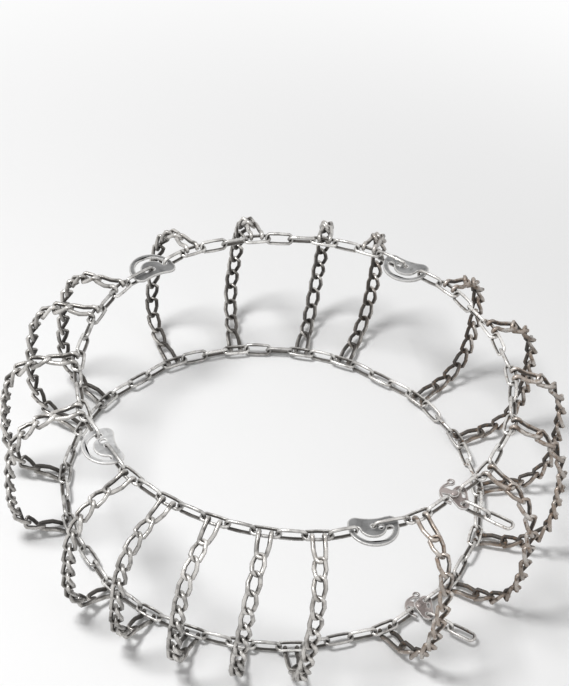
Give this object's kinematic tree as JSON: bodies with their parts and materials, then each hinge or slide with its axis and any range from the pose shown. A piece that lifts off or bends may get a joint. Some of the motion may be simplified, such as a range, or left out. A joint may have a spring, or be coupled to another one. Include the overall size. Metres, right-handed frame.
{
  "type": "tire snow chains",
  "caption": "Truck tyre snow chain in its fitted form: two side chain rings joined by twisted-link cross chains, with cam tensioners and lever fasteners.",
  "frame": {"origin": "centre of the wheel that the chain fits, on the tyre's mid-plane", "axes": "+Z along the wheel's axis towards its outer face, which has the cams; +X to the right and +Y up as that face is seen"},
  "size_m": [1.1167, 1.1188, 0.322],
  "materials": {
    "side_chain_steel": "zinc plated, worn satin",
    "cross_chain_steel": "worn dark steel with light rust",
    "cam_zinc": "galvanised, matt",
    "fastener_zinc": "zinc plated, worn"
  },
  "bodies": {
    "chain": {"cross_chain_01": "cross_chain_steel", "cross_chain_02": "cross_chain_steel", "cross_chain_03": "cross_chain_steel", "cross_chain_04": "cross_chain_steel", "cross_chain_05": "cross_chain_steel", "cross_chain_06": "cross_chain_steel", "cross_chain_07": "cross_chain_steel", "cross_chain_08": "cross_chain_steel", "cross_chain_09": "cross_chain_steel", "cross_chain_10": "cross_chain_steel", "cross_chain_11": "cross_chain_steel", "cross_chain_12": "cross_chain_steel", "cross_chain_13": "cross_chain_steel", "cross_chain_14": "cross_chain_steel", "cross_chain_15": "cross_chain_steel", "cross_chain_16": "cross_chain_steel", "cross_chain_17": "cross_chain_steel", "cross_chain_18": "cross_chain_steel", "cross_chain_19": "cross_chain_steel", "outer_side_chain_1": "side_chain_steel", "outer_side_chain_2": "side_chain_steel", "outer_side_chain_3": "side_chain_steel", "outer_side_chain_4": "side_chain_steel", "outer_side_chain_5": "side_chain_steel", "inner_side_chain_1": "side_chain_steel", "inner_side_chain_2": "side_chain_steel", "inner_side_chain_3": "side_chain_steel", "inner_side_chain_4": "side_chain_steel", "inner_side_chain_5": "side_chain_steel", "cam_1_hole_link": "side_chain_steel", "cam_1_slot_link": "side_chain_steel", "cam_2_hole_link": "side_chain_steel", "cam_2_slot_link": "side_chain_steel", "cam_3_hole_link": "side_chain_steel", "cam_3_slot_link": "side_chain_steel", "cam_4_hole_link": "side_chain_steel", "cam_4_slot_link": "side_chain_steel", "outer_fastener_plate": "fastener_zinc", "outer_fastener_rivet": "fastener_zinc", "outer_fastener_link": "side_chain_steel", "inner_fastener_plate": "fastener_zinc", "inner_fastener_rivet": "fastener_zinc", "inner_fastener_link": "side_chain_steel", "outer_latched_link": "side_chain_steel", "inner_latched_link": "side_chain_steel"},
    "cam_1": {"tensioner_cam_1": "cam_zinc"},
    "cam_2": {"tensioner_cam_2": "cam_zinc"},
    "cam_3": {"tensioner_cam_3": "cam_zinc"},
    "cam_4": {"tensioner_cam_4": "cam_zinc"},
    "outer_lever": {"outer_fastener_lever": "fastener_zinc"},
    "outer_spare_1": {"outer_spare_link_1": "side_chain_steel"},
    "outer_spare_2": {"outer_spare_link_2": "side_chain_steel"},
    "inner_lever": {"inner_fastener_lever": "fastener_zinc"},
    "inner_spare_1": {"inner_spare_link_1": "side_chain_steel"},
    "inner_spare_2": {"inner_spare_link_2": "side_chain_steel"}
  },
  "joints": [
    {"name": "cam_1_turn", "type": "hinge", "parent": "chain", "child": "cam_1", "pos_m": [0.2178, 0.37099, 0.147], "axis": [0, 0, 1], "range_deg": [0, 160]},
    {"name": "cam_2_turn", "type": "hinge", "parent": "chain", "child": "cam_2", "pos_m": [-0.29672, 0.28689, 0.147], "axis": [0, 0, 1], "range_deg": [-160, 0]},
    {"name": "cam_3_turn", "type": "hinge", "parent": "chain", "child": "cam_3", "pos_m": [-0.32661, -0.23361, 0.147], "axis": [0, 0, 1], "range_deg": [-160, 0]},
    {"name": "cam_4_turn", "type": "hinge", "parent": "chain", "child": "cam_4", "pos_m": [0.17465, -0.37616, 0.147], "axis": [0, 0, 1], "range_deg": [-160, 0]},
    {"name": "outer_lever_swing", "type": "hinge", "parent": "chain", "child": "outer_lever", "pos_m": [0.32027, -0.27498, 0.147], "axis": [0, 0, 1], "range_deg": [-70, 0]},
    {"name": "outer_spare_1_swing", "type": "hinge", "parent": "chain", "child": "outer_spare_1", "pos_m": [0.33708, -0.29659, 0.147], "axis": [0, 0, 1], "range_deg": [-60, 40]},
    {"name": "outer_spare_2_swing", "type": "hinge", "parent": "outer_spare_1", "child": "outer_spare_2", "pos_m": [0.3821, -0.32017, 0.147], "axis": [0, 0, 1], "range_deg": [-25, 25]},
    {"name": "inner_lever_swing", "type": "hinge", "parent": "chain", "child": "inner_lever", "pos_m": [0.28853, -0.29079, -0.147], "axis": [0, 0, 1], "range_deg": [-70, 0]},
    {"name": "inner_spare_1_swing", "type": "hinge", "parent": "chain", "child": "inner_spare_1", "pos_m": [0.30515, -0.31255, -0.147], "axis": [0, 0, 1], "range_deg": [-60, 40]},
    {"name": "inner_spare_2_swing", "type": "hinge", "parent": "inner_spare_1", "child": "inner_spare_2", "pos_m": [0.34995, -0.33653, -0.147], "axis": [0, 0, 1], "range_deg": [-25, 25]}
  ]
}
